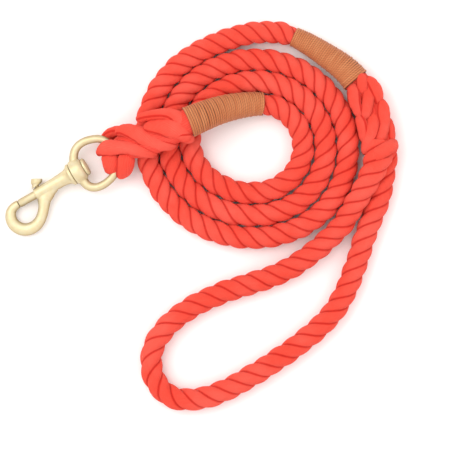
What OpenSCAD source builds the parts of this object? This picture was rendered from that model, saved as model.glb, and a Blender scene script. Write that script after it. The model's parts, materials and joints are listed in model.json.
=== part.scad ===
// Training leash: a three-strand cotton rope with a swivel bolt snap spliced on at one end and
// its other end spliced back into itself as a handle loop. Each splice runs into a twine whipping.
// It lies coiled on a flat surface at z = 0. The snap's long axis runs along X, and its lower end
// rests on the surface while the rope holds its ring a little higher.

/* [Rope] */
// Diameter of the laid rope
rope_d = 13.6; // [10:0.1:14]
// Radial growth of the flat coil in one turn
turn_pitch = 14.8; // [14.6:0.1:15.2]
// Clearance between a whipping and the rope that it binds
whip_gap = 0.15; // [0.1:0.05:0.4]

/* [Snap] */
// Inner width of the swivel ring
ring_inner_w = 25; // [22:0.5:32]
// Diameter of the ring's wire
ring_wire_d = 5.2; // [4:0.1:6.4]
// Largest diameter of the swivel boss
boss_d = 16; // [14:0.5:20]
// Length of the swivel boss along the snap
boss_l = 8.4; // [7:0.2:11]
// Diameter of the rivet's shank
rivet_d = 5; // [4:0.1:6]
// Diameter of the rivet's head
rivet_head_d = 12; // [9:0.5:14]
// Thickness of the rivet's head
rivet_head_t = 2.2; // [1.5:0.1:3]
// Diameter of the collar at the barrel's rear end
collar_d = 13.8; // [12:0.2:17]
// Outer diameter of the barrel at its open end
barrel_d = 7.8; // [7:0.1:10]
// Length of the barrel from its collar face to its open end
barrel_l = 28.8; // [27:0.2:35]
// Diameter of the sliding bolt
bolt_d = 5.4; // [4.4:0.1:5.6]
// Distance from the barrel's open end to the hook's tip, which the bolt closes
throat = 12.8; // [12.6:0.2:16]
// How far the bolt slides back
bolt_travel = 10; // [7:0.5:10.4]
// Width of the hook's eye, across the bolt's line
eye_w = 11.4; // [10:0.2:16]
// Length of the hook's eye, along the bolt's line
eye_l = 16; // [14:0.2:20]
// Width of the hook's stock at its widest bend
hook_w = 7.8; // [6:0.1:8.4]
// Thickness of the hook's stock
hook_t = 6.6; // [5:0.1:7.4]
// Diameter of the thumb knob's cap
knob_d = 7.4; // [6:0.1:9]

/* [Whippings] */
// Outer diameter of the snap's whipping where the splice runs in
snap_whip_d = 21.2; // [19:0.1:21.4]
// Outer diameter of the snap's whipping where the rope leaves it
snap_whip_end_d = 15.2; // [14.8:0.1:15.4]
// Outer diameter of the handle's whipping where the splice runs in
handle_whip_d = 19.4; // [17:0.1:19.6]
// Outer diameter of the handle's whipping where the rope leaves it
handle_whip_end_d = 14.6; // [14.4:0.1:15]

/* [Hidden] */

// Clearances
run_gap = 0.05;      // rivet shank in the boss, on the radius
slide_gap = 0.1;     // bolt in the barrel, on the radius
face_gap = 0.25;     // swivel boss to the collar and to the rivet head
close_gap = 0.3;     // closed bolt to the hook's tip
press_gap = 0.02;    // pieces pressed together, on the radius
rope_gap = 0.3;      // ring wire to the rope round it

rope_r = rope_d / 2;
wire_r = ring_wire_d / 2;
ring_r = ring_inner_w / 2 + wire_r;

// Places along the snap, from the middle of the ring's bar at x = 0 towards the hook
boss_half_angle = asin((boss_d / 2 - 0.3) / (ring_r + wire_r));
boss_rear_x = -ring_r - (ring_r + wire_r) * cos(boss_half_angle) - 0.2;
boss_x = boss_rear_x + boss_l;
rivet_head_x = boss_x + face_gap + rivet_head_t;
collar_x = boss_rear_x - face_gap;
mouth_x = collar_x - barrel_l;
tip_x = mouth_x - throat;
bolt_tip_x = tip_x + close_gap;
knob_x = mouth_x + 3.6;
bolt_rear_x = knob_x + 2.6;
slot_w = 3.2;
neck_r = 1.4;
knob_lean = 22;
knob_h = 9.2;        // knob's height along its own axis, from the bolt's middle
cap_h = 1.1;
flare_h = 1.2;
barrel_rear_r = barrel_d / 2 + 0.8;
bore_r = bolt_d / 2 + slide_gap;
rivet_end_x = collar_x - 6.4;
slot_back = bolt_travel + barrel_rear_r * tan(knob_lean) + 0.2;
eye_x = mouth_x - eye_l / 2 - 1.8;
eye_y = -eye_w / 2 - bolt_d / 2;

// The snap's ring is held at this point of the rope's eye
pivot = [41.5, 2, 12];
hook_reach = -(eye_x - eye_l / 2 - hook_w / 2);
snap_pitch = asin((pivot.z - hook_t / 2) / hook_reach);

// Routes of the rope, chosen by hand. Each point is [x, y, height of the middle].
snap_splice_route = [[57, -0.5, 21.8], [65, -4, 24.6], [74, -5.2, 25], [84, -5.9, 25.2]];
snap_whip_route = [[94, -6.2, 25], [106, -7.4, 23], [118, -9.3, 18.8], [132, -13.4, 13],
    [144.5, -19.4, 8.6]];
coil_centre = [120.5, -35.7];
coil_from = 345;
coil_to = 1360;
coil_rings = 46;
outer_run = [[156, 27.5, rope_r], [171, 21, rope_r]];
handle_whip_route = [[182.5, 11.5, 7.5], [190, 0.5, 8.3], [198, -14.5, 9.1], [203, -26, 9.6],
    [205.2, -35, 9.9]];
handle_splice_route = [[206.2, -48, 10.2], [204.6, -59, 10.2], [202, -69, 10.2],
    [199, -80, 10.2]];
handle_route = [[188.5, -86, 17], [182.5, -93, 17.4], [175, -99, 13], [166, -104.8, 8.6],
    [152, -113, 6.8], [132, -120, 6.8], [112, -123, 6.8], [88, -121.4, 6.8],
    [64, -116.5, 6.8], [40, -114.2, 6.8], [18, -116.8, 6.8], [-0.8, -127.2, 6.8],
    [-8.2, -142.9, 6.8], [-6, -157.2, 6.8], [5.7, -167.6, 6.8], [24.8, -173, 6.8],
    [50, -173.5, 6.8], [76, -171.8, 6.8], [99.4, -168.2, 6.8], [118, -162.5, 6.8],
    [134.8, -152, 6.8], [151.2, -137.6, 6.8], [167.4, -122.9, 6.8], [183.8, -108.7, 6.8],
    [195.2, -96.2, 6.8], [201.8, -88, 6.8]];

tube_sides = 12;
cotton = "tomato";
brass = "khaki";
twine = "peru";

// Geometry helpers

function unit(v) = v / norm(v);
function heading(path, i) = unit(path[min(i + 1, len(path) - 1)] - path[max(i - 1, 0)]);
function headings(path) = [for (i = [0 : len(path) - 1]) heading(path, i)];
// Headings along a path whose two ends are squared off to what they meet
function squared(path, first, last) = let (n = len(path) - 1)
    [for (i = [0 : n]) i == 0 ? first : i == n ? last : heading(path, i)];
function mix(a, b, t) = a + (b - a) * t;
function point_on(list, t) =
    let (s = t * (len(list) - 1), i = min(floor(s), len(list) - 2))
    mix(list[i], list[i + 1], s - i);

// One closed outline of a tube: a circle across the path, flattened and moved off it if asked
function tube_ring(p, t, r, flat = 1, off = [0, 0]) =
    let (n = unit(cross(t, [0, 0, 1])), b = cross(n, t))
    [for (j = [0 : tube_sides - 1])
        let (a = 360 * j / tube_sides - 90)
        p + n * (off.x + r * cos(a)) + b * flat * (off.y + r * sin(a))];

// Triangles of the wall between rings of points, in order
function wall(rings, sides, first = 0, flip = false) =
    [for (i = [0 : rings - 2], j = [0 : sides - 1], half = [0, 1])
        let (a = first + i * sides + j, b = first + i * sides + (j + 1) % sides,
            c = b + sides, d = a + sides, tri = half == 0 ? [a, b, c] : [a, c, d])
        flip ? [tri[2], tri[1], tri[0]] : tri];

// A closed solid through a list of rings of points
module skin(rings) {
    sides = len(rings[0]);
    last = (len(rings) - 1) * sides;
    polyhedron(
        points = [for (r = rings, p = r) p],
        faces = concat(
            wall(len(rings), sides),
            [[for (j = [sides - 1 : -1 : 0]) j], [for (j = [0 : sides - 1]) last + j]]));
}

// A rope of one radius along a path
module tube(path, head, r) {
    skin([for (i = [0 : len(path) - 1]) tube_ring(path[i], head[i], r)]);
}

// A sleeve round a stretch of rope, from one outer radius to another
module sleeve(path, head, r_from, r_to, r_in) {
    n = len(path);
    m = n * tube_sides;
    outer = [for (i = [0 : n - 1])
        tube_ring(path[i], head[i], mix(r_from, r_to, i / (n - 1)))];
    inner = [for (i = [0 : n - 1]) tube_ring(path[i], head[i], r_in)];
    polyhedron(
        points = [for (r = concat(outer, inner), p = r) p],
        faces = concat(
            wall(n, tube_sides),
            wall(n, tube_sides, m, true),
            [for (j = [0 : tube_sides - 1], half = [0, 1])
                let (k = (j + 1) % tube_sides)
                half == 0 ? [k, j, m + j] : [k, m + j, m + k]],
            [for (j = [0 : tube_sides - 1], half = [0, 1])
                let (k = (j + 1) % tube_sides, e = m - tube_sides)
                half == 0 ? [e + j, e + k, e + m + k] : [e + j, e + m + k, e + m + j]]));
}

// Strand number s of three that twist round each other along a route. The strands nearly touch,
// so each one's radius follows from the splice's own radius.
module splice_strand(s, route, first, last, r_from, r_to, twist, flat) {
    rings = 10;
    strand_gap = 0.15;
    path = [for (i = [0 : rings]) point_on(route, i / rings)];
    head = squared(path, first, last);
    skin([for (i = [0 : rings])
        let (big = mix(r_from, r_to, i / rings), r = big / (1 + 2 / sqrt(3)),
            a = 120 * s + twist * i / rings)
        tube_ring(path[i], head[i], r - strand_gap, flat, (big - r) * [cos(a), sin(a)])]);
}

// Distance of the coil's rope from the coil's centre, at an angle that grows clockwise
function coil_r(a) = 15.7 + turn_pitch * a / 360 + 4.8 * cos(a - 29) + 2.3 * cos(2 * a - 71);
coil_route = [for (i = [0 : coil_rings])
    let (a = mix(coil_from, coil_to, i / coil_rings))
    [coil_centre.x + coil_r(a) * cos(a), coil_centre.y - coil_r(a) * sin(a), rope_r]];
rope_route = concat(snap_whip_route, coil_route, outer_run, handle_whip_route);
rope_head = headings(rope_route);
rope_last = len(rope_route) - 1;
whip_last = len(handle_whip_route) - 1;

// Where the eye's legs end, and which way they point
eye_rise = 30;
eye_leg = 9.5;
eye_dir = [cos(eye_rise), 0, sin(eye_rise)];

// Each splice runs between two faces, with a small gap at each. The handle's two legs leave the
// far face side by side, one a little higher than the other.
snap_splice = concat([pivot + (eye_leg + rope_gap) * eye_dir], snap_splice_route,
    [rope_route[0] - rope_gap * rope_head[0]]);
handle_splice = concat([rope_route[rope_last] + rope_gap * rope_head[rope_last]],
    handle_splice_route);
crotch = handle_splice[len(handle_splice) - 1];
crotch_dir = unit([-3, -11, 0]);
crotch_side = [crotch_dir.y, -crotch_dir.x, 0];
leg_from = crotch + rope_gap * crotch_dir + 6.3 * crotch_side + [0, 0, 3.4];
leg_to = crotch + rope_gap * crotch_dir - 5.7 * crotch_side - [0, 0, 3.4];
handle_loop = concat([leg_from], handle_route, [leg_to]);

// Puts the snap in its place, from a frame with the ring's bar at the origin
module snap_place() {
    translate(pivot) rotate([0, -snap_pitch, 0]) children();
}

// Turns a profile drawn as [distance along the snap, radius] round the snap's axis
module turned(profile) {
    rotate([0, 90, 0]) rotate([0, 0, 180]) rotate_extrude($fn = 48)
        polygon([for (p = profile) [p.y, p.x]]);
}

module rod(x_from, x_to, r) {
    translate([x_from, 0, 0]) rotate([0, 90, 0]) cylinder(h = x_to - x_from, r = r, $fn = 48);
}

// Middle line of the hook: half an ellipse from the tip round to the foot, then a curve that
// runs up into the barrel
function hook_ellipse(a) =
    [eye_x + (eye_l + hook_w) / 2 * cos(a), eye_y + (eye_w + hook_w) / 2 * sin(a), 0];
hook_foot = hook_ellipse(270);
hook_root = [mouth_x + 11, -1, 0];
function spine(t) =
    let (p1 = hook_foot + [8, 0, 0], p2 = hook_root - [8, 2.5, 0], u = 1 - t)
    u * u * u * hook_foot + 3 * u * u * t * p1 + 3 * u * t * t * p2 + t * t * t * hook_root;
hook_line = concat(
    [for (a = [98 : 14.33 : 265]) hook_ellipse(a)], [for (t = [0 : 0.1 : 1]) spine(t)]);

// Width of the stock along that line as a part of its widest, evenly from the tip to the root
hook_widths = [0.67, 0.86, 0.95, 0.98, 1, 0.97, 0.9, 0.9, 1.05, 1.3];

module hook() {
    n = len(hook_line) - 1;
    sides = 16;
    skin([for (i = [0 : n])
        let (t = heading(hook_line, i), side = cross(t, [0, 0, 1]),
            w = hook_w * point_on(hook_widths, i / n), h = hook_t * min(1, 0.76 + 0.8 * i / n))
        [for (j = [0 : sides - 1])
            let (a = 360 * j / sides)
            hook_line[i] + side * w / 2 * cos(a) + [0, 0, h / 2 * sin(a)]]]);
}

// The casting: hook, spine, barrel and collar in one piece
module snap_body() {
    collar_r = collar_d / 2;
    color(brass) snap_place() difference() {
        union() {
            turned([[mouth_x, 0], [mouth_x, barrel_d / 2 - 0.4], [mouth_x + 0.5, barrel_d / 2],
                [collar_x - 5, barrel_rear_r], [collar_x - 1.4, collar_r - 0.9],
                [collar_x - 0.6, collar_r], [collar_x, collar_r], [collar_x, 0]]);
            hook();
        }
        rod(tip_x, collar_x - 6, bore_r);
        rod(tip_x, mouth_x, bore_r + 0.6);
        rod(collar_x - 7, collar_x + 1, rivet_d / 2 + press_gap);
        translate([knob_x, 0, -slot_w / 2]) cube([slot_back, collar_d, slot_w]);
        for (x = [knob_x, knob_x + slot_back])
            translate([x, 0, 0]) rotate([-90, 0, 0])
                cylinder(h = collar_d, r = slot_w / 2, $fn = 32);
    }
}

// The sliding bolt, with a cross hole that takes the knob's neck
module snap_bolt() {
    color(brass) snap_place() difference() {
        turned([[bolt_tip_x, 0], [bolt_tip_x, bolt_d / 2 - 0.6], [bolt_tip_x + 0.6, bolt_d / 2],
            [bolt_rear_x, bolt_d / 2], [bolt_rear_x, 0]]);
        knob_axis() cylinder(h = bolt_d, r = neck_r + press_gap, $fn = 32);
    }
}

// Stands things on the knob's axis, which leans back towards the ring
module knob_axis() {
    translate([knob_x, 0, 0]) rotate([-90, 0, 0]) rotate([0, knob_lean, 0]) children();
}

module thumb_knob() {
    floor_y = barrel_rear_r + 0.3;
    stub_r = 2.6;
    flare_z = knob_h - cap_h - flare_h;
    color(brass) snap_place() {
        difference() {
            knob_axis() union() {
                cylinder(h = flare_z + 0.5, r = stub_r, $fn = 32);
                translate([0, 0, flare_z])
                    cylinder(h = flare_h, r1 = stub_r + 0.2, r2 = knob_d / 2, $fn = 48);
                translate([0, 0, knob_h - cap_h]) cylinder(h = cap_h, r = knob_d / 2, $fn = 48);
            }
            translate([knob_x - 10, -5, -5]) cube([20, floor_y + 5, 10]);
        }
        knob_axis() cylinder(h = flare_z, r = neck_r, $fn = 32);
    }
}

// The compression spring between the bolt and the rivet's end
module bolt_spring() {
    turns = 7;
    steps = 10;
    wire = 0.6;
    coil_mid_r = bolt_d / 2 - wire / 2 - 0.2;
    x_from = bolt_rear_x + wire / 2 + 0.1;
    x_to = rivet_end_x - wire / 2 - 0.1;
    color("silver") snap_place() skin([for (i = [0 : turns * steps])
        let (a = 360 * i / steps, out = [0, cos(a), sin(a)],
            c = [mix(x_from, x_to, i / (turns * steps)), 0, 0] + out * coil_mid_r)
        [for (j = [0 : 5]) c + wire / 2 * (out * cos(60 * j) - [1, 0, 0] * sin(60 * j))]]);
}

// The rivet that the ring turns on, headed inside the ring and pressed into the barrel
module swivel_rivet() {
    color(brass) snap_place() {
        rod(rivet_end_x, rivet_head_x - rivet_head_t, rivet_d / 2);
        turned([[rivet_head_x - rivet_head_t, 0], [rivet_head_x - rivet_head_t, rivet_head_d / 2],
            [rivet_head_x - 0.8, rivet_head_d / 2], [rivet_head_x, rivet_head_d / 2 - 1.6],
            [rivet_head_x, 0]]);
    }
}

// The swivel eye: a bored boss with a round-wire ring that runs from one side to the other
module swivel_eye() {
    arc = 180 - boss_half_angle;
    color(brass) snap_place() difference() {
        union() {
            translate([-ring_r, 0, 0]) rotate([0, 0, -arc])
                rotate_extrude(angle = 2 * arc, $fn = 96)
                    translate([ring_r, 0]) circle(r = wire_r, $fn = 32);
            turned([[boss_x - boss_l, 0], [boss_x - boss_l, boss_d / 2 - 0.3],
                [boss_x - boss_l + 0.3, boss_d / 2], [boss_x - 3, boss_d / 2 - 0.5],
                [boss_x, boss_d / 2 - 2.2], [boss_x, 0]]);
        }
        rod(boss_x - boss_l - 1, boss_x + 1, rivet_d / 2 + run_gap);
    }
}

// The rope's bend round the ring's bar. Its hollow follows the ring, so the ring can swing in it.
module eye_rope() {
    outer_r = wire_r + rope_gap + rope_r + 0.6;
    module section() intersection() {
        translate([ring_r, 0]) circle(r = ring_r - wire_r - rope_gap, $fn = 64);
        translate([0, -2 * rope_r]) square([outer_r, 4 * rope_r]);
        translate([outer_r - 1.5 * rope_r, 0]) circle(r = 1.5 * rope_r, $fn = 64);
    }
    color(cotton) translate(pivot) rotate([0, -eye_rise, 0]) {
        rotate([90, 0, 0]) rotate([0, 0, 90]) rotate_extrude(angle = 180, $fn = 48) section();
        for (m = [0, 1]) mirror([0, 0, m]) rotate([0, -90, 0]) translate([0, 0, -eye_leg])
            linear_extrude(height = eye_leg) section();
    }
}

module coiled_rope() {
    color(cotton) tube(rope_route, rope_head, rope_r);
}

module handle_rope() {
    color(cotton) tube(handle_loop, squared(handle_loop, crotch_dir, -crotch_dir), rope_r);
}

module snap_whipping() {
    color(twine) sleeve(snap_whip_route, rope_head, snap_whip_d / 2, snap_whip_end_d / 2,
        rope_r + whip_gap);
}

module handle_whipping() {
    head = [for (i = [rope_last - whip_last : rope_last]) rope_head[i]];
    color(twine) sleeve(handle_whip_route, head, handle_whip_end_d / 2, handle_whip_d / 2,
        rope_r + whip_gap);
}

module snap_splice_strand(s) {
    color(cotton) splice_strand(s, snap_splice, eye_dir, rope_head[0],
        13, snap_whip_d / 2, 200, 0.76);
}

module handle_splice_strand(s) {
    color(cotton) splice_strand(s, handle_splice, rope_head[rope_last], crotch_dir,
        handle_whip_d / 2, 11.6, 240, 0.85);
}

snap_body();
snap_bolt();
thumb_knob();
bolt_spring();
swivel_rivet();
swivel_eye();
eye_rope();
coiled_rope();
handle_rope();
snap_whipping();
handle_whipping();
snap_splice_strand(1);  // snap_splice_strand_1
snap_splice_strand(2);  // snap_splice_strand_2
snap_splice_strand(3);  // snap_splice_strand_3
handle_splice_strand(1);  // handle_splice_strand_1
handle_splice_strand(2);  // handle_splice_strand_2
handle_splice_strand(3);  // handle_splice_strand_3
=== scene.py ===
"""A three-strand rope leash with a swivel bolt snap, lying coiled on a pale floor.

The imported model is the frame: X runs along the snap from its hook to its ring, Z is up, and every
length is in metres. The rope, its splices, the twine and the snap's castings are surfaces worked
out here, each standing in for the plain solids of the frame.
"""
import json
import math

import bpy
import numpy as np
from mathutils import Matrix, Vector


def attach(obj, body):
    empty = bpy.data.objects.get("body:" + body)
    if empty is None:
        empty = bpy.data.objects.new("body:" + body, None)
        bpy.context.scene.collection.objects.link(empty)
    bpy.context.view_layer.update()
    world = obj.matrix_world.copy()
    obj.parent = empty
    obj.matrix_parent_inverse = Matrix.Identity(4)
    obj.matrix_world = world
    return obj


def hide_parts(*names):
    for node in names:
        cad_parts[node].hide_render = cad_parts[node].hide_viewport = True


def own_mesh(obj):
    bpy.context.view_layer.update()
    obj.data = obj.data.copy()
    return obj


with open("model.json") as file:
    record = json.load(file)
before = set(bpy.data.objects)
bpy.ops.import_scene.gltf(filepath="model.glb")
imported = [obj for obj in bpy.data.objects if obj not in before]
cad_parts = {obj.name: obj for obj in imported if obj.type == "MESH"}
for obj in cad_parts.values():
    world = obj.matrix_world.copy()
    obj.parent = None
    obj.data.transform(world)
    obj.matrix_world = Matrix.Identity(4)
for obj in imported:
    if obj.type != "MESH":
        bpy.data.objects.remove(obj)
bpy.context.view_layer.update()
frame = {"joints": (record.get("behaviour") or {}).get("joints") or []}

MM = 0.001
JOINTS = {joint["name"]: joint for joint in frame["joints"]}

# ---------------------------------------------------------------- arrays and meshes


def unit(v):
    """Vectors scaled to length one."""
    return v / np.linalg.norm(v, axis=-1, keepdims=True)


def mix(a, b, t):
    """a where t is 0, b where t is 1, and evenly between them."""
    return a + (b - a) * t


def smoothstep(low, high, t):
    """0 below low, 1 above high, and 3u² - 2u³ between them."""
    u = np.clip((t - low) / (high - low), 0, 1)
    return u * u * (3 - 2 * u)


def around(sides):
    """Angles round a section, as one row."""
    return np.linspace(0, 2 * np.pi, sides, endpoint=False)[None, :]


def distance_along(path):
    """Length of the path up to each of its points."""
    return np.concatenate([[0], np.cumsum(np.linalg.norm(np.diff(path, axis=0), axis=1))])


def evenly(path, step):
    """The same line with its points the same distance apart, about `step`."""
    at = distance_along(path)
    new = np.linspace(0, at[-1], max(2, int(round(at[-1] / step)) + 1))
    return np.stack([np.interp(new, at, path[:, k]) for k in range(path.shape[1])], axis=1)


def spline(points, step):
    """The natural cubic spline through the points, by distance along them, evenly spaced."""
    p = np.array(points, float)
    t = distance_along(p[:, :3])
    h = np.diff(t)
    inner = np.arange(1, len(p) - 1)
    a = np.eye(len(p))
    a[inner, inner - 1] = h[:-1]
    a[inner, inner] = 2 * (h[:-1] + h[1:])
    a[inner, inner + 1] = h[1:]
    slope = np.diff(p, axis=0) / h[:, None]
    right = np.zeros_like(p)
    right[1:-1] = 6 * np.diff(slope, axis=0)
    bend = np.linalg.solve(a, right)
    fine = np.linspace(0, t[-1], int(t[-1] / step * 4) + 8)
    k = np.clip(np.searchsorted(t, fine, side="right") - 1, 0, len(h) - 1)
    d = (fine - t[k])[:, None]
    g = h[k][:, None]
    start = slope[k] - g * (2 * bend[k] + bend[k + 1]) / 6
    curve = p[k] + start * d + bend[k] / 2 * d**2 + (bend[k + 1] - bend[k]) / (6 * g) * d**3
    return evenly(curve, step)


def frames(path):
    """Side and top directions along a path: the side is level, and both are square to the path."""
    t = unit(np.gradient(path, axis=0))
    side = unit(np.cross(t, np.broadcast_to(np.array([0.0, 0.0, 1.0]), t.shape)))
    return side, np.cross(side, t)


def carried(path, across, high):
    """A grid of points: each path point moved sideways by `across` and upwards by `high`."""
    side, top = frames(path)
    return path[:, None] + across[..., None] * side[:, None] + high[..., None] * top[:, None]


def faces_of(rows, sides, first):
    """Quads between the rows of a grid whose rows close on themselves, as vertex numbers. They face
    outwards where the rows run clockwise as seen from the next row."""
    i, j = np.meshgrid(np.arange(rows - 1), np.arange(sides), indexing="ij")
    a = i * sides + j
    b = i * sides + (j + 1) % sides
    return first + np.stack([a, a + sides, b + sides, b], axis=-1).reshape(-1, 4)


def caps_of(rows, sides, first):
    """Triangles from the first and last rows to the two middle points, which follow the grid."""
    j = np.arange(sides)
    k = (j + 1) % sides
    last = first + (rows - 1) * sides
    middle = first + rows * sides
    start = np.stack([first + j, first + k, np.full(sides, middle)], axis=-1)
    end = np.stack([last + k, last + j, np.full(sides, middle + 1)], axis=-1)
    return np.concatenate([start, end])


def with_tips(grid):
    """A grid's points or values as rows, with the means of its first and last rows after them."""
    rows, sides = grid.shape[:2]
    flat = grid.reshape(rows * sides, -1)
    return np.concatenate([flat, flat[:sides].mean(0)[None], flat[-sides:].mean(0)[None]])


def tube_mesh(name, grids):
    """A smooth-shaded mesh of closed tubes, each a grid of points whose rows close on themselves
    and whose first and last rows close on their middle points."""
    quads, tris, first = [], [], 0
    for grid in grids:
        rows, sides = grid.shape[:2]
        quads.append(faces_of(rows, sides, first))
        tris.append(caps_of(rows, sides, first))
        first += rows * sides + 2
    points = np.concatenate([with_tips(grid) for grid in grids])
    quads = np.concatenate(quads)
    tris = np.concatenate(tris)
    corners = np.concatenate([quads.ravel(), tris.ravel()]).astype(np.int32)
    starts = np.concatenate([np.arange(len(quads)) * 4, quads.size + np.arange(len(tris)) * 3])
    mesh = bpy.data.meshes.new(name)
    mesh.vertices.add(len(points))
    mesh.vertices.foreach_set("co", points.astype(np.float32).ravel())
    mesh.loops.add(len(corners))
    mesh.loops.foreach_set("vertex_index", corners)
    mesh.polygons.add(len(starts))
    mesh.polygons.foreach_set("loop_start", starts.astype(np.int32))
    mesh.update(calc_edges=True)
    mesh.validate()
    mesh.polygons.foreach_set("use_smooth", np.ones(len(mesh.polygons), bool))
    return mesh


def piece(name, tubes, body, material, stands_for=()):
    """One object from closed tubes. Each tube is a dict: its grid of `points`, and for the
    materials a grid of places on the straight rope, `lay`, and of groove values, `groove`, which
    the materials turn into painted shade."""
    mesh = tube_mesh(name, [tube["points"] for tube in tubes])
    for key, kind, field in (("lay", "FLOAT_VECTOR", "vector"), ("groove", "FLOAT", "value")):
        values = np.concatenate([with_tips(tube[key]) for tube in tubes]).astype(np.float32)
        mesh.attributes.new(key, kind, "POINT").data.foreach_set(field, values.ravel())
    return seated(bpy.data.objects.new(name, mesh), body, material, stands_for)


def seated(obj, body, material, stands_for=()):
    """Links a finished object, paints it, and lets it ride on its body in place of CAD nodes."""
    if obj.name not in bpy.context.scene.collection.objects:
        bpy.context.scene.collection.objects.link(obj)
    obj.data.materials.clear()
    obj.data.materials.append(material)
    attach(obj, body)
    if stands_for:
        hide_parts(*stands_for)
    return obj


# ---------------------------------------------------------------- shader building


class Value:
    """A shader socket that Python's arithmetic works on: each operation adds its Math node."""

    def __init__(self, tree, socket):
        self.tree = tree
        self.socket = socket

    def math(self, operation, *others):
        """A Math node's result for this value and the others."""
        return self.tree.node("Math", {"operation": operation}, (self, *others))

    def __add__(self, other):
        return self.math("ADD", other)

    def __radd__(self, other):
        return self.math("ADD", other)

    def __sub__(self, other):
        return self.math("SUBTRACT", other)

    def __rsub__(self, other):
        return self * -1.0 + other

    def __mul__(self, other):
        return self.math("MULTIPLY", other)

    def __rmul__(self, other):
        return self.math("MULTIPLY", other)

    def between(self, low, high, start=0.0, stop=1.0):
        """`start` below low and `stop` above high, with a smooth ramp between them."""
        return self.tree.node("MapRange", {"interpolation_type": "SMOOTHSTEP"}, {
            "Value": self, "From Min": low, "From Max": high, "To Min": start, "To Max": stop})


class Nodes:
    """A node tree, with one method that adds any node."""

    def __init__(self, tree):
        self.nodes = tree.nodes
        self.links = tree.links

    def feed(self, socket, value):
        """Links a value, or sets a number, vector or colour."""
        if isinstance(value, Value):
            self.links.new(value.socket, socket)
        else:
            socket.default_value = value

    def node(self, kind, settings=None, sockets=(), output=0):
        """Any node: its settings first, then its sockets, as a row in the node's own order or as a
        dict by name or number. Gives the value of one output."""
        made = self.nodes.new("ShaderNode" + kind)
        for key, value in (settings or {}).items():
            setattr(made, key, value)
        for key, value in sockets.items() if isinstance(sockets, dict) else enumerate(sockets):
            self.feed(made.inputs[key], value)
        return Value(self, made.outputs[output])

    def dot(self, vector, direction):
        """How far a vector reaches along a direction."""
        return self.node("VectorMath", {"operation": "DOT_PRODUCT"}, (vector, direction), "Value")


class Paint(Nodes):
    """A material being built round its Principled shader."""

    def __init__(self, name):
        self.material = bpy.data.materials.new(name)
        self.material.use_nodes = True
        super().__init__(self.material.node_tree)
        self.shader = self.nodes["Principled BSDF"]

    def attribute(self, name, output="Fac"):
        """A number or vector that the mesh holds at each point."""
        return self.node("Attribute", {"attribute_name": name}, (), output)

    def object_place(self):
        """Each point's place in the object."""
        return self.node("TexCoord", output="Object")

    def stretched(self, vector, x, y, z):
        """The vector with each axis scaled."""
        return self.node("Mapping", None, {"Vector": vector, "Scale": (x, y, z)})

    def noise(self, vector, scale, detail, roughness=0.55):
        """Soft noise about 0.5, with `scale` lumps to a unit of the vector."""
        return self.node("TexNoise", None, {
            "Vector": vector, "Scale": scale, "Detail": detail, "Roughness": roughness})

    def angle_round(self, vector):
        """The angle of a vector's second and third numbers, which is the angle round a rope."""
        parts = self.node("SeparateXYZ", None, (vector,)).socket.node.outputs
        return Value(self, parts[2]).math("ARCTAN2", Value(self, parts[1]))

    def blend(self, factor, a, b):
        """A colour between a and b."""
        return self.node("Mix", {"data_type": "RGBA", "clamp_factor": True},
                         {0: factor, 6: a, 7: b}, 2)

    def bump(self, height, distance, strength, below=None):
        """A normal tilted by a height, on top of the bump below it."""
        sockets = {"Height": height, "Distance": distance, "Strength": strength}
        if below is not None:
            sockets["Normal"] = below
        return self.node("Bump", None, sockets)

    def finish(self, **inputs):
        """Feeds the shader's own sockets, `_` standing for a space, and returns the material."""
        for key, value in inputs.items():
            self.feed(self.shader.inputs[key.replace("_", " ")], value)
        return self.material


# ---------------------------------------------------------------- camera, floor and light

VIEW_WIDTH = 0.3133
VIEW_CENTRE = np.array([0.0850, -0.0861, 0.008])
VIEW_TURN = math.radians(-29)
CAMERA_HEIGHT = 1.6
SENSOR = 36.0
FLOOR_SIZE = 6
SKY_LEAN = (0.06, -0.22, 1.0)
SKY_DIM, SKY_FULL = 0.75, 1.25
SKY_FULL_FROM = 0.75


def make_camera():
    """A long lens straight above the leash, turned so that the snap points down to the left. The
    lens is sensor width times height over the width that it takes in."""
    data = bpy.data.cameras.new("camera")
    data.sensor_width = SENSOR
    data.lens = SENSOR * CAMERA_HEIGHT / VIEW_WIDTH
    data.clip_start = 0.01
    data.clip_end = 20
    camera = bpy.data.objects.new("camera", data)
    camera.matrix_world = (
        Matrix.Translation(Vector(VIEW_CENTRE) + Vector((0, 0, CAMERA_HEIGHT)))
        @ Matrix.Rotation(VIEW_TURN, 4, "Z")
    )
    bpy.context.scene.collection.objects.link(camera)
    bpy.context.scene.camera = camera


def area_light(name, place, target, size, power, colour):
    """A round soft light at a place, facing its target."""
    data = bpy.data.lights.new(name, "AREA")
    data.shape = "DISK"
    data.size = size
    data.energy = power
    data.color = colour
    light = bpy.data.objects.new(name, data)
    light.location = place
    aim = Vector(target) - Vector(place)
    light.rotation_euler = aim.to_track_quat("-Z", "Y").to_euler()
    bpy.context.scene.collection.objects.link(light)


def make_surround():
    """A white tent of light: full overhead, and dimmer towards the horizon at the back. Its
    strength follows the direction's reach along a leaning upright."""
    world = bpy.data.worlds.new("surround")
    world.use_nodes = True
    sky = Nodes(world.node_tree)
    reach = sky.dot(sky.node("TexCoord", output="Generated"), SKY_LEAN)
    back = sky.nodes["Background"]
    sky.feed(back.inputs["Color"], (1.0, 0.99, 0.985, 1))
    sky.feed(back.inputs["Strength"], reach.between(0.0, SKY_FULL_FROM, SKY_DIM, SKY_FULL))
    bpy.context.scene.world = world


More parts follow.
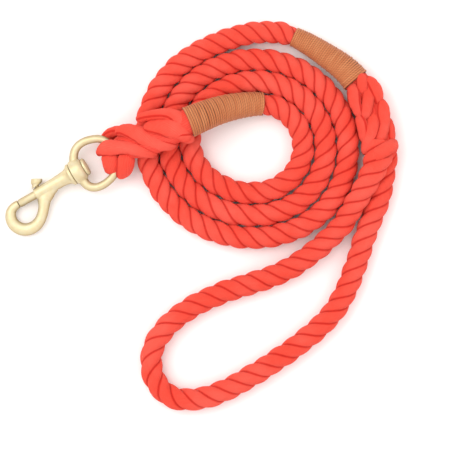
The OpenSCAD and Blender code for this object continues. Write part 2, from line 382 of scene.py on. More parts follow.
def make_studio():
    """A white floor, a bright even surround, a broad key from the upper left and a weak fill."""
    middle = (VIEW_CENTRE[0], VIEW_CENTRE[1], 0)
    bpy.ops.mesh.primitive_plane_add(size=FLOOR_SIZE, location=middle)
    floor = bpy.context.object
    floor.name = "floor"
    floor.data.materials.append(floor_paint())
    make_surround()
    area_light("key", place=(-0.30, 0.62, 1.2), target=middle, size=1.2, power=9.0,
               colour=(1.0, 0.985, 0.965))
    area_light("fill", place=(0.9, -0.5, 1.0), target=middle, size=1.0, power=1.0,
               colour=(1.0, 0.98, 0.97))
    view = bpy.context.scene.view_settings
    view.view_transform = "Standard"
    view.look = "None"
    view.exposure = 0.0


# ---------------------------------------------------------------- materials

CORAL = (0.86, 0.074, 0.045, 1)
CORAL_LIGHT = (0.90, 0.113, 0.079, 1)
# painted shade for the rope's grooves, the gaps between yarns and the splices' hollows
CORAL_PAINTED_SHADE = (0.56, 0.008, 0.005, 1)
TAN = (0.49, 0.142, 0.044, 1)
TAN_LIGHT = (0.59, 0.218, 0.082, 1)
# painted shade for the twine's gaps and for the skin under the whippings
TAN_PAINTED_SHADE = (0.15, 0.036, 0.009, 1)
GOLD = (0.66, 0.55, 0.325, 1)
GOLD_PALE = (0.67, 0.595, 0.40, 1)
GOLD_PIT = (0.62, 0.46, 0.22, 1)
# painted shade for the castings' sides at their middle height
GOLD_PAINTED_SHADE = (0.30, 0.19, 0.07, 1)
GOLD_GLINT = (0.75, 0.58, 0.34, 1)
STEEL_DARK = (0.42, 0.42, 0.43, 1)
STEEL_BRIGHT = (0.7, 0.7, 0.71, 1)
FLOOR_WHITE = (0.95, 0.918, 0.908, 1)
TWINE_PLIES = 3
TWINE_TWIST = 3300.0
# how far above and below the snap's middle plane the painted shade on the gold reaches, in m
SHADE_REACH = 0.0031


def cotton_paint(name, yarns):
    """Dyed cotton with `yarns` round it. `lay` is each point's place on the straight rope, so the
    yarns follow the bends: they are the sine of the angle round it times their number, and wander
    a little. `groove` is 0 on a strand's crown and 1 in the groove beside it. Soft patches and
    loose fibres change the colour; the gaps between yarns and the grooves get painted shade, a
    deeper red where shade falls. Lumps 4 mm across, the yarns and the fibres make the bump."""
    p = Paint(name)
    lay = p.attribute("lay", "Vector")
    groove = p.attribute("groove")
    wander = p.noise(p.stretched(lay, 90, 260, 260), 1.0, 2.0) - 0.5
    yarn = (p.angle_round(lay) * yarns + wander * 9.0).math("SINE")
    fuzz = p.noise(p.stretched(lay, 500, 1500, 1500), 1.0, 4.0, 0.65)
    patch = p.noise(lay, 42.0, 3.0, 0.5)
    fibres = (fuzz - 0.5).math("ABSOLUTE").between(0.0, 0.25)
    # painted shade mask: where the yarns part
    gap_shade = (yarn * -0.5 + 0.5).between(0.55, 1.0)
    shade = p.blend(patch.between(0.3, 0.7), CORAL, CORAL_LIGHT)
    shade = p.blend(fibres * 0.35, shade, CORAL_LIGHT)
    # painted shade: the gaps between yarns and the grooves between strands darken towards a deep
    # red
    shade = p.blend(gap_shade * 0.30, shade, CORAL_PAINTED_SHADE)
    shade = p.blend(groove.between(0.70, 1.0) * 0.75, shade, CORAL_PAINTED_SHADE)
    lumps = p.bump(p.noise(lay, 230.0, 2.0, 0.5), 0.0007, 0.8)
    soft = p.bump(yarn, 0.00016, 0.7, lumps)
    rough = p.bump(fuzz, 0.00033, 0.8, soft)
    return p.finish(Base_Color=shade, Roughness=0.88, Normal=rough, Sheen_Weight=0.12,
                    Sheen_Roughness=0.5, Sheen_Tint=(1.0, 0.35, 0.28, 1), Specular_IOR_Level=0.12)


def twine_paint():
    """Waxed linen twine. `lay` is each point's place on the straight twine, whose plies twist round
    it: the sine of the angle round it times their number, turned on with the length. `groove` is 1
    where one turn meets the next. The gaps between plies and the places where turns meet are
    painted shade, a dark brown."""
    p = Paint("waxed_twine")
    lay = p.attribute("lay", "Vector")
    groove = p.attribute("groove")
    length = p.dot(lay, (1.0, 0.0, 0.0))
    ply = (p.angle_round(lay) * float(TWINE_PLIES) + length * TWINE_TWIST).math("SINE")
    fibre = p.noise(p.stretched(lay, 700, 4000, 4000), 1.0, 3.0, 0.6)
    patch = p.noise(lay, 60.0, 2.0, 0.5)
    # painted shade mask: where the plies part
    gap_shade = (ply * -0.5 + 0.5).between(0.6, 1.0)
    shade = p.blend(patch.between(0.3, 0.7), TAN, TAN_LIGHT)
    shade = p.blend(fibre.between(0.35, 0.75) * 0.35, shade, TAN_LIGHT)
    # painted shade: the gaps between plies and where one turn meets the next darken towards dark
    # brown
    shade = p.blend(gap_shade * 0.35, shade, TAN_PAINTED_SHADE)
    shade = p.blend(groove.between(0.1, 0.75) * 0.92, shade, TAN_PAINTED_SHADE)
    soft = p.bump(ply, 0.00008, 0.6)
    rough = p.bump(fibre, 0.00006, 0.5, soft)
    return p.finish(Base_Color=shade, Roughness=0.62, Normal=rough, Sheen_Weight=0.1,
                    Specular_IOR_Level=0.35)


def gold_paint():
    """Satin pale gold plating over a tumbled casting: faint pits, soft mottling, and painted shade
    round the sides: the gold darkens towards the height of the snap's middle plane, which darkens
    the outlines as seen from above."""
    p = Paint("satin_gold")
    place = p.object_place()
    mottle = p.noise(place, 320.0, 4.0, 0.6)
    grain = p.noise(place, 2600.0, 3.0, 0.6)
    pits = p.node("TexVoronoi", None, {"Vector": place, "Scale": 900.0}, "Distance")
    above = (p.dot(place, tuple(UPWARD)) - float(PIVOT @ UPWARD)).math("ABSOLUTE")
    shade = p.blend(mottle.between(0.35, 0.7), GOLD, GOLD_PALE)
    shade = p.blend((1.0 - pits.between(0.02, 0.16)) * 0.25, shade, GOLD_PIT)
    # painted shade: darker gold near the middle plane's height, so the sides look shaded from above
    shade = p.blend(1.0 - above.between(0.0, SHADE_REACH), shade, GOLD_PAINTED_SHADE)
    rough = mottle * 0.10 + grain * 0.08 + 0.32
    soft = p.bump(mottle, 0.00010, 0.35)
    return p.finish(Base_Color=shade, Metallic=0.35, Roughness=rough, Specular_Tint=GOLD_GLINT,
                    Normal=p.bump(grain, 0.00002, 0.4, soft), Coat_Weight=0.08, Coat_Roughness=0.3)


def steel_paint():
    """Drawn spring wire, with fine lines across it."""
    p = Paint("spring_wire")
    draw = p.noise(p.stretched(p.object_place(), 4000, 900, 900), 1.0, 3.0)
    shade = p.blend(draw, STEEL_DARK, STEEL_BRIGHT)
    return p.finish(Base_Color=shade, Metallic=1.0, Roughness=draw * 0.15 + 0.25,
                    Normal=p.bump(draw, 0.00001, 0.4))


def floor_paint():
    """Matt white, a little warm."""
    return Paint("floor_white").finish(Base_Color=FLOOR_WHITE, Roughness=0.6,
                                       Specular_IOR_Level=0.2)


# ---------------------------------------------------------------- the rope's route

ROPE_R = 0.0076
COIL_Z = 0.0077
STEP = 0.0011

SNAP_WHIP = [(0.094, -0.0062, 0.025), (0.106, -0.0074, 0.023), (0.118, -0.0093, 0.0188),
             (0.132, -0.0134, 0.013), (0.1445, -0.0194, 0.0086)]
COIL_CENTRE = (0.1205, -0.0357)
COIL_FROM, COIL_TO, COIL_STEPS = 345, 1360, 46
COIL_START, TURN_PITCH = 15.7, 14.8
OVAL, OVAL_AT = (4.8, 2.3), (math.radians(29), math.radians(71))
BULGES, BULGE_WIDTH = ((0.8, 790), (1.4, 1150)), 34
OUTER_RUN = [(0.156, 0.0275, 0.0077), (0.171, 0.021, 0.0077)]
HANDLE_WHIP = [(0.1825, 0.0115, 0.0075), (0.190, 0.0005, 0.0083), (0.198, -0.0145, 0.0091),
               (0.203, -0.026, 0.0096), (0.2052, -0.035, 0.0099)]
HANDLE_SPLICE = [(0.2050, -0.0340, 0.0099), (0.2060, -0.048, 0.0102), (0.2046, -0.059, 0.0102),
                 (0.202, -0.069, 0.0102), (0.199, -0.080, 0.0102), (0.1965, -0.0885, 0.0102)]
SNAP_SPLICE = [(0.0385, 0.0015, 0.0118), (0.044, 0.0015, 0.0130), (0.050, 0.001, 0.0165),
               (0.057, -0.0015, 0.0210), (0.065, -0.004, 0.0240), (0.074, -0.0052, 0.0250),
               (0.084, -0.0059, 0.0252), (0.096, -0.0062, 0.0250)]
HANDLE_LOOP = [(0.1992, -0.0790, 0.0140), (0.1918, -0.0883, 0.0160), (0.1836, -0.0948, 0.0155),
               (0.1755, -0.1002, 0.0145), (0.1664, -0.1056, 0.0122), (0.1523, -0.1139, 0.0092),
               (0.132, -0.120, 0.0078), (0.112, -0.123, 0.0078), (0.088, -0.1214, 0.0078),
               (0.064, -0.1165, 0.0078), (0.040, -0.1142, 0.0078), (0.018, -0.1168, 0.0078),
               (-0.0008, -0.1272, 0.0078), (-0.0082, -0.1429, 0.0078),
               (-0.006, -0.1572, 0.0078), (0.0057, -0.1676, 0.0078), (0.0248, -0.173, 0.0078),
               (0.050, -0.1735, 0.0078), (0.076, -0.1718, 0.0078), (0.0994, -0.1682, 0.0078),
               (0.118, -0.1625, 0.0078), (0.1348, -0.152, 0.0078), (0.1512, -0.1376, 0.0078),
               (0.1674, -0.1229, 0.0078), (0.1838, -0.1087, 0.0078),
               (0.1941, -0.0956, 0.0078), (0.2002, -0.0873, 0.0078), (0.2027, -0.0807, 0.0080)]


def coil_route():
    """A flat spiral that grows by the pitch at each turn, moved aside and made oval by a cosine of
    the angle and one of twice the angle. The angle runs clockwise. The last two turns bulge beside
    the handle loop, each by a bell curve of a given height in mm about a given angle."""
    a = np.radians(np.linspace(COIL_FROM, COIL_TO, COIL_STEPS + 1))
    r = (COIL_START + TURN_PITCH * a / (2 * np.pi) + OVAL[0] * np.cos(a - OVAL_AT[0])
         + OVAL[1] * np.cos(2 * a - OVAL_AT[1]))
    for height, centre in BULGES:
        r = r + height * np.exp(-((np.degrees(a) - centre) / BULGE_WIDTH) ** 2)
    r = r * MM
    x = COIL_CENTRE[0] + r * np.cos(a)
    y = COIL_CENTRE[1] - r * np.sin(a)
    return list(zip(x, y, np.full(len(a), COIL_Z)))


ROPE_ROUTE = SNAP_WHIP + coil_route() + OUTER_RUN + HANDLE_WHIP

# Distances along each rope, in mm, at which a groove crosses the top, with the grooves' count
LEASH_GROOVES = [(0, 64.2), (5, 112.2), (10, 165.5), (13, 197), (18, 249.2), (23, 299.5),
                 (28, 349.2), (33, 401.2), (36, 436.2), (38, 461.5), (42, 501), (45, 527.8),
                 (50, 573.2), (55, 624.8), (60, 673.2), (65, 722.5), (70, 774), (75, 828.5),
                 (79, 868.2), (83, 910.5), (88, 958.2), (94, 1013.5)]
LOOP_GROOVES = [(0, 3.5), (2, 21.2), (6, 63), (10, 107.2), (14, 150.5), (18, 195), (22, 242.8),
                (26, 290.8), (30, 335.8), (34, 381.5), (38, 423.2), (42, 465.5), (44, 486)]
LAY_SMOOTHING = 9

# The rope where whippings bind it, and the handle loop's first leg where it leaves its splice:
# distances along it in m, its radius there and its height over its width
SNAP_BOUND_R, HANDLE_BOUND_R = 0.0063, 0.0056
LEG_AT = [0, 0.010, 0.022, 0.036]
LEG_R = [0.0102, 0.0096, 0.0083, ROPE_R]
LEG_FLAT = [0.74, 0.82, 0.93, 1.0]

# A laid strand's section, as shares of the rope's radius
STRAND_OFFSET, STRAND_R = 0.29, 0.71
CREASE = 0.035


def lay_turn(at, grooves):
    """How far the strands have turned at each distance: a third of a turn from one groove to the
    next, by straight lines between the list's points that go on past its ends, averaged over the
    points within a few steps."""
    count, place = np.array(grooves, float).T
    place = place * MM
    before = (at - place[0]) / (place[1] - place[0]) * (count[1] - count[0]) + count[0]
    after = (at - place[-1]) / (place[-1] - place[-2]) * (count[-1] - count[-2]) + count[-1]
    k = np.interp(at, place, count)
    k = np.where(at < place[0], before, np.where(at > place[-1], after, k))
    width = 2 * LAY_SMOOTHING + 1
    even = np.convolve(np.pad(k, LAY_SMOOTHING, mode="reflect", reflect_type="odd"),
                       np.ones(width) / width, "valid")
    return np.pi / 2 - 2 * np.pi / 3 * even


def straight_place(along, x, r):
    """Each point's place on the straight rope: the distance along it, and r cos x and r sin x."""
    ones = np.ones(np.broadcast_shapes(np.shape(along), np.shape(x)))
    return np.stack([along * ones, r * np.cos(x) * ones, r * np.sin(x) * ones], axis=-1)


def laid_rope(path, grooves, radius=ROPE_R, flat=1.0):
    """Three strands laid round each other, as one skin. Round a strand's crown, at the angle x
    from it, the skin is at the distance a cos x + sqrt(b² - a² sin² x), the outline of circles of
    radius b about points at the distance a, less a crease times u⁸, where u is 1 in the groove:
    the soft strands press flat against each other and part in narrow creases. Each strand swells
    and thins by two slow sines of the distance. `flat` is the rope's height over its width."""
    a, b = STRAND_OFFSET, STRAND_R
    third = 2 * np.pi / 3
    tiny = 1e-9
    at = distance_along(path)
    turn = lay_turn(at, grooves)[:, None]
    at = at[:, None]
    x = around(96)
    strand = np.floor(x / third + tiny)
    crown = np.mod(x + tiny, third) - third / 2
    u = np.abs(crown) / (third / 2)
    lobe = a * np.cos(crown) + np.sqrt(b * b - (a * np.sin(crown)) ** 2) - CREASE * u**8
    swell = 1 + 0.016 * np.sin(at / 0.0083 + 2.1 * strand) + 0.012 * np.sin(at / 0.021 + strand)
    radius = np.broadcast_to(np.asarray(radius, float).reshape(-1, 1), at.shape)
    flat = np.broadcast_to(np.asarray(flat, float).reshape(-1, 1), at.shape)
    r = radius * lobe * swell
    angle = x + turn
    points = carried(path, r * np.cos(angle), flat * r * np.sin(angle))
    # the groove value u places the painted shade in the rope's grooves
    return {"points": points, "lay": straight_place(at, angle, r),
            "groove": u * np.ones_like(at)}


def whipped_radius(path, ends):
    """The rope's radius along its path, drawn in where a whipping binds it. `ends` gives, for each
    whipping, the distances where it starts and stops and the bound radius. The radius eases in
    from a little outside the whipping to a little inside it."""
    outside, inside = 0.006, 0.004
    at = distance_along(path)
    r = np.full(len(at), ROPE_R)
    for start, stop, narrow in ends:
        begun = smoothstep(start - outside, start + inside, at)
        ended = smoothstep(stop - inside, stop + outside, at)
        r = mix(r, narrow, begun * (1 - ended))
    return r


# ---------------------------------------------------------------- splices

STRAND_STEP, STRAND_END, STRAND_PLACE_R = 0.0007, 0.0045, 0.004
TILT_SMOOTHING = 6
SNAP_FIRST_UNDER = 4
FLOOR_GAP = 0.3
# the second number is the groove value of the core inside a splice, which paints it partly in
# painted shade
ROUND_END, SPLICE_CORE_SHADE = 0.94, 0.84
SNAP_CORE, SNAP_CORE_FLAT = [5.5, 7.4, 9.4, 10.2, 9.8, 9.3, 9.1, 9.2], 0.76
HANDLE_CORE, HANDLE_CORE_FLAT = [8.2, 9.2, 9.4, 9.6, 10.0, 9.0], 0.8

# The tucked strands of each splice. Every strand is a row of points: [x, y, height, width,
# thickness], all in mm. A strand dives under its neighbours at both ends.
SNAP_TURNS = [
    [(45.5, 5, 5, 9, 6), (41.5, 5.8, 5.4, 10.5, 6.2), (37.2, 6.5, 7.4, 11, 6.4),
     (35.7, 6.8, 12, 11.4, 6.6), (37.3, 6.3, 16.2, 11.6, 6.8), (41, 4.2, 18.9, 11.2, 7),
     (46.1, 1.7, 22, 9.4, 7), (51.8, -1.7, 24.8, 8.8, 7), (57.3, -7, 27, 9, 7),
     (61.7, -11.3, 26, 7.4, 6.5), (65.6, -14, 22, 6, 5.5)],
    [(38.4, 3, 13, 9.5, 6), (37.6, -0.4, 16.2, 11.4, 6.6), (36.6, -4.1, 16.4, 12, 6.8),
     (35.4, -7.9, 12.8, 11.6, 6.6), (34.6, -10.9, 8, 10, 6)],
    [(38.6, 9, 5.2, 8.5, 6), (42.4, 12, 7.2, 9.8, 7), (47.4, 13, 10.4, 10.2, 7),
     (52.6, 10.8, 15, 9.4, 7), (57.5, 7, 19.4, 8, 6)],
    [(47.5, -2.9, 18.6, 10, 6.5), (46.2, -7, 19.4, 12.6, 7), (43.7, -10.8, 16.6, 13.4, 7),
     (41.2, -13.6, 12, 12.4, 7), (39.4, -15.6, 7, 10, 6)],
    [(49.5, 10.6, 17, 9, 6.5), (54, 10.5, 21, 10.8, 7), (57.7, 7.5, 24.5, 12.2, 7),
     (61.4, 3.3, 27.2, 13.4, 7), (64.7, -1.7, 28.6, 12.6, 7), (68.4, -7.6, 28.6, 9.6, 7),
     (73.5, -12.1, 27, 8.8, 6.8), (79.4, -15.2, 23.5, 7.6, 6)],
    [(69.5, 5.5, 24.5, 9, 6), (72, 3, 28.6, 12, 7), (77, -0.2, 30.4, 13.4, 7),
     (82.2, -4.6, 30.6, 13.6, 7), (86.2, -9.8, 29, 11, 6.8), (88.8, -14.7, 26.5, 8.8, 6.5),
     (90.6, -18.4, 23, 7, 6)],
    [(65.3, 11.7, 22, 7, 6), (70.9, 10.8, 25.8, 8.6, 6.6), (77.2, 8.8, 27.6, 9.4, 6.8),
     (83, 6.2, 28.4, 9.6, 6.8), (87.6, 2.6, 29, 9.4, 6.8), (90.3, -2.2, 29.4, 9, 6.6),
     (91.1, -7.4, 29, 8.4, 6.4), (90.8, -12.2, 27, 7, 6)],
    [(83, -11.3, 27, 7, 5.6), (87.4, -14, 28.4, 8.6, 6), (91.6, -16, 26.4, 7.6, 5.6)],
]
HANDLE_TURNS = [
    [(201.5, -35.6, 13.5, 7, 6), (200.1, -40.9, 15.8, 9, 6.5), (197.7, -46.5, 16.2, 10, 6.5),
     (196.6, -52.7, 15, 9, 6.5), (196.6, -58.1, 12.6, 8, 6)],
    [(209.9, -32.7, 16.2, 7, 6), (208.6, -36.5, 17.3, 7.6, 6.4), (206.6, -40.7, 17, 7.6, 6.4),
     (203.7, -45.2, 14.4, 7, 6)],
    [(212.2, -36.5, 13.6, 7, 6), (213.2, -42.5, 15.8, 9.6, 6.6), (213.3, -47.9, 16, 10.8, 6.6),
     (211.9, -53.2, 14.2, 9.8, 6.4), (209.6, -57.3, 11.2, 8.6, 6)],
    [(210.4, -43.6, 14.8, 6, 5.6), (207.8, -47.5, 17.4, 7.8, 6.2), (204.7, -51.8, 18, 8, 6.4),
     (201.5, -56.2, 17.3, 7.6, 6.2), (197.3, -60.3, 14.4, 6.4, 5.6)],
    [(213.8, -55.4, 11.5, 9, 6), (212, -59.4, 15.2, 10.8, 6.6), (209.8, -63.8, 16.6, 11, 6.6),
     (208, -68.2, 16.8, 8.6, 6.4), (205, -72.6, 17, 7.4, 6.2), (200.9, -76.5, 16.6, 7.4, 6.2),
     (195.7, -80.4, 14, 7, 6)],
    [(206.4, -59.7, 14.6, 6.4, 5.8), (202.3, -64.3, 16.8, 8, 6.2),
     (198.9, -68.5, 17.2, 8.8, 6.4), (194.2, -72.7, 16.4, 9.8, 6.4),
     (189.9, -77.2, 14.4, 9, 6.2), (186.4, -80.6, 11.5, 8, 6)],
    [(195.2, -55.8, 12.6, 8, 6), (194.4, -62.2, 14.8, 9.4, 6.4), (192.6, -68, 14.6, 8.8, 6.4),
     (190, -74.2, 12.4, 8, 6)],
    [(210.8, -67, 9.5, 7.6, 6), (210.1, -72.4, 12.2, 9, 6.2), (208.4, -76.7, 12.8, 9, 6.2),
     (205.8, -80.8, 12.4, 8.2, 6), (202, -83.4, 10.5, 7, 6)],
    [(187, -85.2, 17, 7.4, 6), (192.5, -85, 20.2, 8.8, 6.4), (198.3, -84.9, 21.2, 9.2, 6.4),
     (203.4, -84.7, 18.8, 9, 6.2), (206.2, -84.9, 13.5, 8.6, 6), (206.8, -85.2, 8, 8, 6)],
]


def nearest(points, middle):
    """For each point, the number of the middle line's point that lies closest in plan."""
    return np.argmin(np.linalg.norm(points[:, None, :2] - middle[None, :, :2], axis=2), axis=1)


def tucked_strand(points, middle):
    """A soft flat strand over a splice: an oval tube whose flat side faces out from the splice's
    middle line, and whose ends close in a half oval, sqrt(1 - (1 - u)²) as u goes from 0 to 1.
    Slanting crumples 5 mm apart, the sine of the distance plus a sine of the angle round it, fade
    in and out along the strand. The groove value is |cos x|⁷, so painted shade lies along both
    edges, where the strand meets its neighbours."""
    rows = spline(np.array(points, float) * MM, STRAND_STEP)
    path, wide, thick = rows[:, :3], rows[:, 3] / 2, rows[:, 4] / 2
    out = path - middle[nearest(path, middle)]
    t = unit(np.gradient(path, axis=0))
    out = unit(out - (out * t).sum(1)[:, None] * t)
    width = 2 * TILT_SMOOTHING + 1
    out = unit(np.stack([np.convolve(np.pad(out[:, c], TILT_SMOOTHING, mode="edge"),
                                     np.ones(width) / width, "valid") for c in range(3)], axis=1))
    side = unit(np.cross(t, out))
    out = np.cross(side, t)
    at = distance_along(path)
    edge = np.clip(np.minimum(at, at[-1] - at) / STRAND_END, 0, 1)
    close = (mix(0.03, 1.0, np.sqrt(1 - (1 - edge) ** 2)))[:, None]
    x = around(40)
    s, first = at[:, None], points[0][0]
    slant = np.sin(s / 0.0008 + 2.2 * np.sin(x + first))
    crumple = slant * (0.6 + 0.4 * np.cos(s / 0.0034 + 2 * x))
    wave = 1 + 0.02 * np.sin(s / 0.0041 + first) + 0.034 * crumple
    full = np.abs(np.cos(x)) ** 0.86 * np.sign(np.cos(x))
    high = np.abs(np.sin(x)) ** 0.92 * np.sign(np.sin(x))
    grid = (path[:, None] + (wide[:, None] * close * wave * full)[..., None] * side[:, None]
            + (thick[:, None] * close * wave * high)[..., None] * out[:, None])
    # painted shade along the strand's two edges, where it meets its neighbours
    groove = np.abs(np.cos(x)) ** 7 * np.ones_like(s)
    return {"points": grid, "lay": straight_place(s, x, STRAND_PLACE_R), "groove": groove}


def underside(turns, middle):
    """The same strands again, mirrored in height about the splice's middle line. None comes nearer
    to the floor than half its thickness and a small gap."""
    below = []
    for points in turns:
        p = np.array(points, float)
        mirrored = 2 * middle[nearest(p * MM, middle), 2] / MM - p[:, 2]
        p[:, 2] = np.maximum(mirrored, p[:, 4] / 2 + FLOOR_GAP)
        below.append(p.tolist())
    return below


def core(path, r, flat=1.0, sides=32, tone=1.0):
    """A plain oval skin inside a splice or a whipping, which fills the hollows between its turns.
    `r` is half its width at each point of the path, `flat` its height over its width, and `tone`
    its groove value, which the materials turn into painted shade of the hollows."""
    x = around(sides)
    r = r[:, None]
    points = carried(path, r * np.cos(x), flat * r * np.sin(x))
    lay = straight_place(distance_along(path)[:, None], x, r)
    return {"points": points, "lay": lay, "groove": np.full(lay.shape[:2], tone)}


def splice_core(path, widths, flat):
    """The rope inside a splice. Its half widths in mm are given at even steps, and near its end it
    grows round."""
    k = distance_along(path) / distance_along(path)[-1]
    r = np.interp(k, np.linspace(0, 1, len(widths)), widths) * MM
    rounder = mix(flat, ROUND_END, smoothstep(0.82, 0.98, k))[:, None]
    # the core is partly darkened as painted shade of the hollows between the tucked strands
    return core(path, r, rounder, sides=48, tone=SPLICE_CORE_SHADE)


# ---------------------------------------------------------------- whippings

TWINE_R = 0.00078
WHIP_TURNS = 36
SNAP_WHIP_R, HANDLE_WHIP_R = (0.0106, 0.0079), (0.0068, 0.0098)
CORE_DEPTH = 0.0010


def twine_winding(path, r_from, r_to, turns):
    """Twine wound round a path: a tube along a helix whose radius runs evenly from one end to the
    other, and wanders by two small sines of the angle. The twine is a little wider along the rope
    than it is high. The groove value is 1 less the sine of the angle round the twine, so painted
    shade falls on its sides and underside, where one turn meets the next."""
    steps = 48
    k = np.linspace(0, 1, turns * steps + 1)
    at = distance_along(path)
    base = np.stack([np.interp(k * at[-1], at, path[:, c]) for c in range(3)], axis=1)
    side, top = frames(base)
    angle = 2 * np.pi * turns * k
    wobble = 1 + 0.012 * np.sin(angle * 0.37 + 1.0) + 0.008 * np.sin(angle * 1.61)
    r = mix(r_from, r_to, k) * wobble - TWINE_R
    out = np.cos(angle)[:, None] * side + np.sin(angle)[:, None] * top
    helix = base + r[:, None] * out
    t = unit(np.gradient(helix, axis=0))
    along = unit(np.cross(t, out))
    x = around(10)
    wide, high = TWINE_R * 1.08, TWINE_R * 0.95
    points = (helix[:, None] + wide * np.cos(x)[..., None] * along[:, None]
              + high * np.sin(x)[..., None] * out[:, None])
    length = distance_along(helix)[:, None]
    # painted shade on the twine's sides and underside, where one turn meets the next
    groove = (1 - np.clip(np.sin(x), 0, 1)) * np.ones_like(length)
    return {"points": points, "lay": straight_place(length, x, TWINE_R), "groove": groove}


def whipping(path, r_from, r_to):
    """The wound twine and the plain skin just under it, whose groove value of 1 paints it in the
    twine's full painted shade where it shows between the turns.
    """
    at = distance_along(path)
    under = mix(r_from, r_to, at / at[-1]) - CORE_DEPTH
    return [twine_winding(path, r_from, r_to, WHIP_TURNS), core(path, under)]


# ---------------------------------------------------------------- the snap's castings

PIVOT = np.array(JOINTS["swivel_spin"]["pos_m"])
ALONG = np.array(JOINTS["bolt_slide"]["axis"])
ACROSS = np.array([0.0, 1.0, 0.0])
UPWARD = np.cross(ALONG, ACROSS)

# The snap's own frame, in mm: x = 0 is the middle of the ring's bar, and the hook is towards -x
COLLAR_X, MOUTH_X, TIP_X, BOLT_REAR_X = -31.49, -60.29, -73.09, -54.09
BOSS_REAR_X, BOSS_X, RIVET_END_X, RIVET_HEAD_X = -31.24, -22.84, -37.89, -20.39
KNOB_X, SLOT_END_X, STUD_X, STUD_LEAN = -56.69, -44.59, -59.3, math.radians(29)
BORE_R, BOLT_R, SLOT_W, FOOT_Y, NECK_R = 2.8, 2.7, 3.2, 4.65, 1.4
RIVET_R, RIVET_HOLE_R, BOSS_BORE_R = 2.5, 2.52, 2.55
VOXEL = 0.00027

SPRING_FRONT_X, SPRING_REAR_X, SPRING_R, SPRING_WIRE = -53.95, -38.03, 2.2, 0.3
SPRING_TURNS, SPRING_PRESSED = 10, 0.375
SWEEP_STEP = 0.35

# The hook's middle line from its tip round the eye to the barrel: [x, y, width, thickness]
HOOK = [(-73.2, 0.1, 5.2, 5.2), (-75.1, 0.1, 5.6, 5.4), (-77.6, -0.4, 6.1, 5.8),
        (-80.0, -1.7, 6.6, 6.2), (-81.7, -3.9, 7.1, 6.6), (-82.9, -8.7, 7.9, 6.8),
        (-81.3, -13.6, 8.3, 6.8), (-77.6, -17.0, 8.4, 6.8), (-72.5, -18.3, 8.1, 6.8),
        (-66.8, -16.8, 7.5, 6.8), (-61.8, -12.8, 7.1, 6.8), (-58.4, -8.5, 7.8, 6.8),
        (-56.4, -5.6, 9.2, 6.8), (-54.2, -3.8, 10.0, 6.8), (-51.0, -2.2, 9.4, 6.8),
        (-46.5, -0.9, 8.0, 6.6)]

# The ring's middle line, from one side of the boss to the other: [x, y, wire's radius]
RING = [(-27.2, 5.0, 3.1), (-26.4, 7.6, 3.0), (-24.9, 10.2, 2.9), (-22.6, 12.7, 2.8),
        (-19.0, 14.5, 2.75), (-14.4, 14.9, 2.7), (-9.2, 13.8, 2.65), (-4.3, 11.4, 2.6),
        (-1.2, 7.8, 2.6), (-0.2, 4.0, 2.6), (0.0, 0.0, 2.6), (-0.2, -4.6, 2.6),
        (-1.6, -8.9, 2.6), (-5.4, -12.8, 2.6), (-10.2, -15.2, 2.65), (-15.0, -16.2, 2.7),
        (-19.4, -16.2, 2.75), (-22.8, -15.2, 2.8), (-25.2, -13.4, 2.9), (-26.8, -10.8, 3.0),
        (-27.4, -8.2, 3.1), (-27.6, -5.0, 3.1)]


def placed(local):
    """Points of the snap's own frame put where the snap lies."""
    return PIVOT + MM * (local[..., :1] * ALONG + local[..., 1:2] * ACROSS
                         + local[..., 2:] * UPWARD)


def turned(profile, sides=96):
    """A profile of [x, radius] turned round the snap's axis, from low x to high x."""
    p = np.array(profile, float)[:, None]
    a = around(sides)
    x, r = p[..., 0] * np.ones_like(a), p[..., 1]
    return np.stack([x, -r * np.cos(a), r * np.sin(a)], axis=-1)


def swept(points, power=0.94):
    """A bar along a line in the snap's middle plane. Rows of points are [x, y, width, thickness].
    The section is the oval of |cos| and |sin| to a power: below 1 its sides are fuller."""
    rows = spline([(x, y, 0.0, w, h) for x, y, w, h in points], SWEEP_STEP)
    path = rows[:, :3]
    a = around(64)
    across = rows[:, 3:4] / 2 * np.abs(np.cos(a)) ** power * np.sign(np.cos(a))
    high = rows[:, 4:5] / 2 * np.abs(np.sin(a)) ** power * np.sign(np.sin(a))
    return carried(path, across, high)


def shell(name, *grids):
    """An object of one or more closed tubes, each a grid of points in the snap's frame."""
    obj = bpy.data.objects.new(name, tube_mesh(name, [placed(grid) for grid in grids]))
    bpy.context.scene.collection.objects.link(obj)
    return obj


def crisp(obj, degrees):
    """Smooth shading, with edges sharper than the angle kept as edges."""
    obj.data.polygons.foreach_set("use_smooth", np.ones(len(obj.data.polygons), bool))
    obj.data.set_sharp_from_angle(angle=math.radians(degrees))
    return obj


def cast(obj, rounds, cutters):
    """Fuses an object's tubes into one casting, softens its corners, and then cuts its holes."""
    remesh = obj.modifiers.new("fuse", "REMESH")
    remesh.mode = "VOXEL"
    remesh.voxel_size = VOXEL
    remesh.use_smooth_shade = True
    soften = obj.modifiers.new("soften", "SMOOTH")
    soften.factor = 0.5
    soften.iterations = rounds
    for cutter in cutters:
        cut = obj.modifiers.new("cut", "BOOLEAN")
        cut.operation = "DIFFERENCE"
        cut.solver = "EXACT"
        cut.object = cutter
    graph = bpy.context.evaluated_depsgraph_get()
    mesh = bpy.data.meshes.new_from_object(obj.evaluated_get(graph))
    obj.modifiers.clear()
    obj.data = mesh
    for cutter in cutters:
        bpy.data.objects.remove(cutter)
    return crisp(obj, 38)


def slot_cutter():
    """A bar with round ends that cuts the knob's slot through the barrel's side."""
    a = around(48)[0]
    x = np.where(np.cos(a) > 0, SLOT_END_X, KNOB_X) + SLOT_W / 2 * np.cos(a)
    z = SLOT_W / 2 * np.sin(a)
    rows = [np.stack([x, np.full_like(a, y), z], axis=-1) for y in (0.0, 9.0)]
    return shell("slot_cutter", np.stack(rows))


def drill(name, x_from, x_to, r):
    """A round cutter along the snap's axis."""
    return shell(name, turned([(x_from, r), (x_to, r)]))


